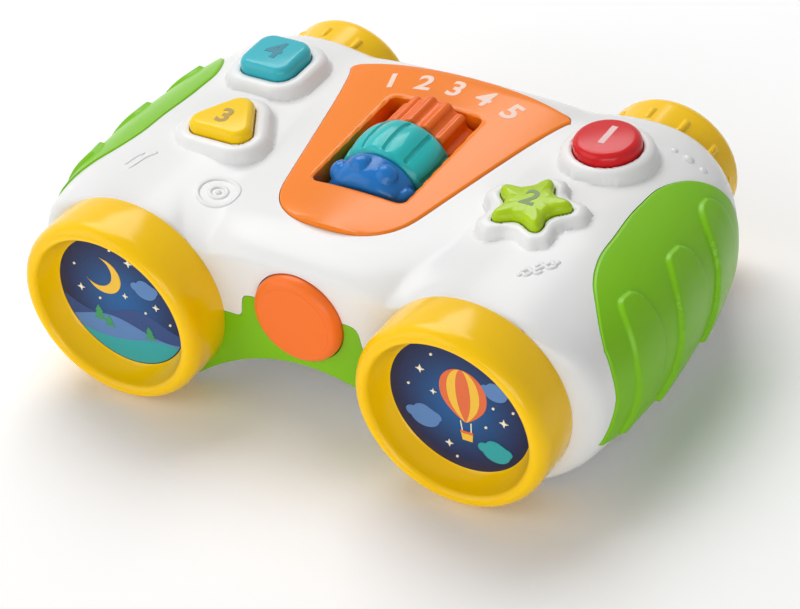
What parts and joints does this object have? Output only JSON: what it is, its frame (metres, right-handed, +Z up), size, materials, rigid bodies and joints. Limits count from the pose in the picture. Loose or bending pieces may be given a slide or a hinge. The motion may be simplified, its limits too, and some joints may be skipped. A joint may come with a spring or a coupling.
{
  "type": "toy binoculars",
  "caption": "Toy binoculars for a small child: white two-barrel housing with yellow rings and eyepieces, push buttons, turning rollers and green side grips.",
  "frame": {"origin": "middle of the part's box, on the table it rests on", "axes": "+X across the barrels, +Y from the front rings to the eyepieces, +Z up"},
  "size_m": [0.203, 0.138, 0.0655],
  "materials": {
    "white_shell": "glossy moulded plastic",
    "yellow": "glossy moulded plastic",
    "lime_green": "satin moulded plastic",
    "orange_panel": "glossy moulded plastic",
    "orange_button": "satin moulded plastic",
    "printed_disc": "printed glossy sheet",
    "dark_window": "dark glossy plastic",
    "blue": "glossy moulded plastic",
    "teal": "glossy moulded plastic",
    "orange_roller": "glossy moulded plastic",
    "red": "glossy moulded plastic",
    "bright_lime": "glossy moulded plastic",
    "turquoise": "glossy moulded plastic",
    "board": "fibreglass board",
    "steel": "plated steel",
    "cell_jacket": "plain jacket",
    "inner_grey": "plain moulded plastic"
  },
  "bodies": {
    "housing": {"upper_shell": "white_shell", "lower_shell": "white_shell", "upper_posts": "white_shell", "lower_posts": "white_shell", "front_bridge": "lime_green", "left_grip_upper": "lime_green", "left_grip_lower": "lime_green", "right_grip_upper": "lime_green", "right_grip_lower": "lime_green", "centre_panel": "orange_panel", "left_ring": "yellow", "right_ring": "yellow", "left_picture_disc": "printed_disc", "right_picture_disc": "printed_disc", "left_disc_retainer": "inner_grey", "right_disc_retainer": "inner_grey", "left_eyepiece_seat": "inner_grey", "right_eyepiece_seat": "inner_grey", "left_eyepiece_clip": "inner_grey", "right_eyepiece_clip": "inner_grey", "left_eye_window": "dark_window", "right_eye_window": "dark_window", "roller_cradle": "inner_grey", "roller_axle": "steel", "left_key_board": "board", "right_key_board": "board", "front_key_board": "board", "round_switch": "inner_grey", "star_switch": "inner_grey", "triangle_switch": "inner_grey", "square_switch": "inner_grey", "front_switch": "inner_grey", "speaker": "inner_grey", "battery_tray": "inner_grey", "cells": "cell_jacket", "front_contact": "steel", "rear_contact": "steel", "battery_door": "white_shell", "door_screw": "steel", "power_bezel": "inner_grey", "housing_screws": "steel"},
    "round_key": {"round_button": "red"},
    "star_key": {"star_button": "bright_lime"},
    "triangle_key": {"triangle_button": "yellow"},
    "square_key": {"square_button": "turquoise"},
    "front_key": {"front_button": "orange_button"},
    "power_knob": {"power_slider": "red"},
    "front_wheel": {"blue_roller": "blue"},
    "middle_wheel": {"teal_roller": "teal"},
    "rear_wheel": {"orange_roller": "orange_roller"},
    "left_eyecup": {"left_eyepiece": "yellow"},
    "right_eyecup": {"right_eyepiece": "yellow"}
  },
  "joints": [
    {"name": "round_press", "type": "slide", "parent": "housing", "child": "round_key", "axis": [0, 0, -1], "range_m": [0, 0.002], "stiffness_N_per_m": 700},
    {"name": "star_press", "type": "slide", "parent": "housing", "child": "star_key", "axis": [0, 0, -1], "range_m": [0, 0.002], "stiffness_N_per_m": 700},
    {"name": "triangle_press", "type": "slide", "parent": "housing", "child": "triangle_key", "axis": [0, 0, -1], "range_m": [0, 0.002], "stiffness_N_per_m": 700},
    {"name": "square_press", "type": "slide", "parent": "housing", "child": "square_key", "axis": [0, 0, -1], "range_m": [0, 0.002], "stiffness_N_per_m": 700},
    {"name": "front_press", "type": "slide", "parent": "housing", "child": "front_key", "axis": [0, 1, 0], "range_m": [0, 0.002], "stiffness_N_per_m": 700},
    {"name": "power_slide", "type": "slide", "parent": "housing", "child": "power_knob", "axis": [0, 1, 0], "range_m": [0, 0.004]},
    {"name": "front_wheel_spin", "type": "hinge", "parent": "housing", "child": "front_wheel", "pos_m": [0, -0.0102, 0.0505], "axis": [0, 1, 0], "continuous": true},
    {"name": "middle_wheel_spin", "type": "hinge", "parent": "housing", "child": "middle_wheel", "pos_m": [0, 0.0047, 0.0505], "axis": [0, 1, 0], "continuous": true},
    {"name": "rear_wheel_spin", "type": "hinge", "parent": "housing", "child": "rear_wheel", "pos_m": [0, 0.0215, 0.0505], "axis": [0, 1, 0], "continuous": true},
    {"name": "left_eyecup_turn", "type": "hinge", "parent": "housing", "child": "left_eyecup", "pos_m": [-0.0582, 0.0627, 0.031], "axis": [0, 1, 0], "continuous": true},
    {"name": "right_eyecup_turn", "type": "hinge", "parent": "housing", "child": "right_eyecup", "pos_m": [0.0582, 0.0627, 0.031], "axis": [0, 1, 0], "continuous": true}
  ]
}
